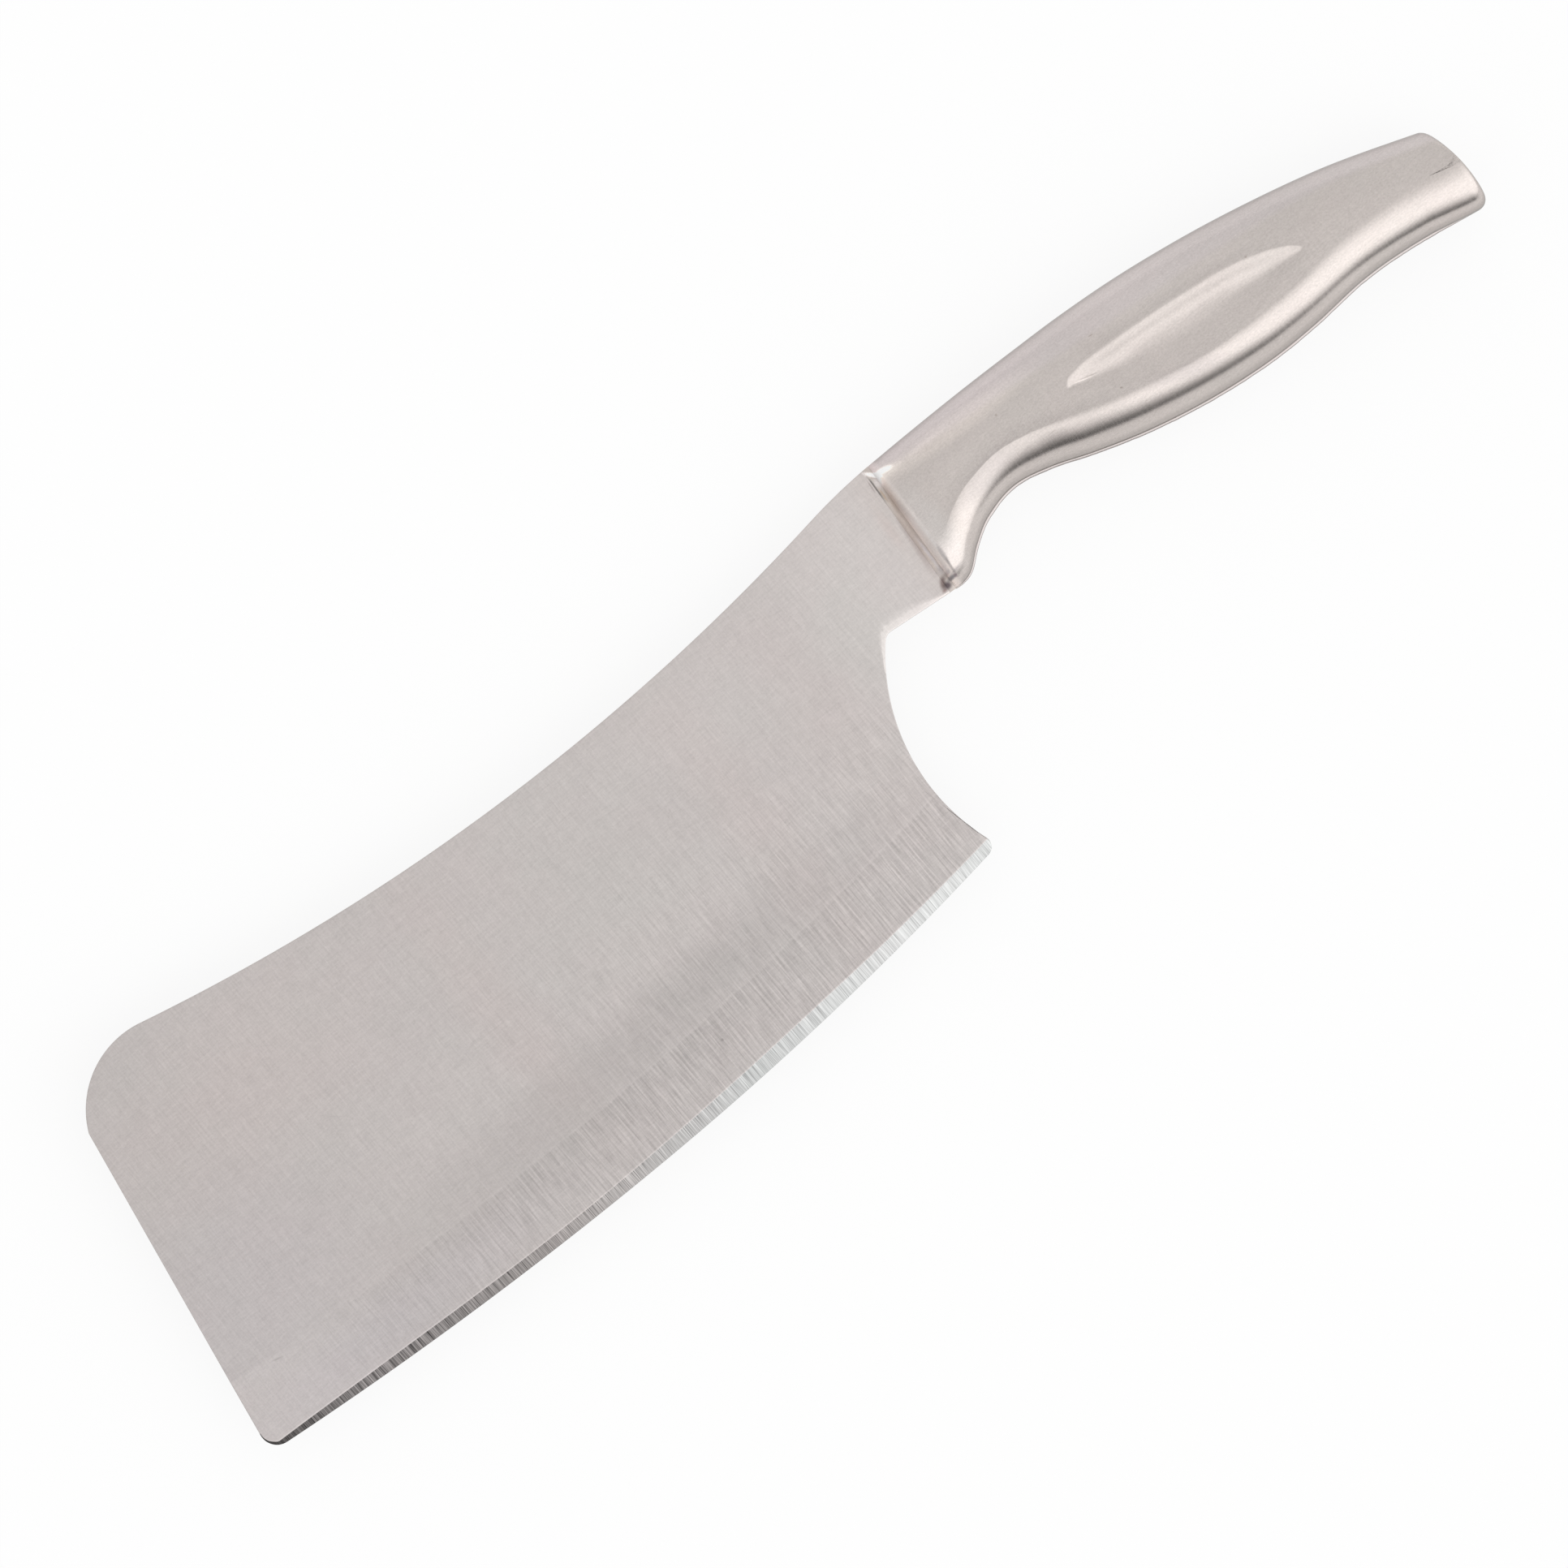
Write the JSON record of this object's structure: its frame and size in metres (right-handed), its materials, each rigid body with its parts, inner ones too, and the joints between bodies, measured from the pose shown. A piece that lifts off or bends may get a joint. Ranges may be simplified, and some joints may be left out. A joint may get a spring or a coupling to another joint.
{
  "type": "chopping knife",
  "caption": "Broad plate blade with a ground cutting edge, welded to a hollow pressed metal handle with a leaf-shaped dimple on each side",
  "frame": {"origin": "centre of the bounding box in plan, on the plane that the knife lies on, under the fullest part of the right side of the handle", "axes": "+X from the front of the blade to the end of the handle, +Y from the cutting edge to the spine, +Z out of the left side of the blade, away from the surface the knife lies on"},
  "size_m": [0.3054, 0.0784, 0.0175],
  "materials": {
    "blade_steel": "fine straight grind lines across the blade, satin",
    "handle_steel": "soft satin, lightly scratched",
    "weld_steel": "ground weld bead, satin",
    "tinted_weld_steel": "satin weld bead with brown heat tint"
  },
  "bodies": {
    "root": {"blade": "blade_steel", "left_handle_shell": "handle_steel", "right_handle_shell": "handle_steel", "spine_seam_weld": "weld_steel", "belly_seam_weld": "weld_steel", "butt_seam_weld": "weld_steel", "left_neck_weld": "tinted_weld_steel", "right_neck_weld": "tinted_weld_steel"}
  },
  "joints": []
}
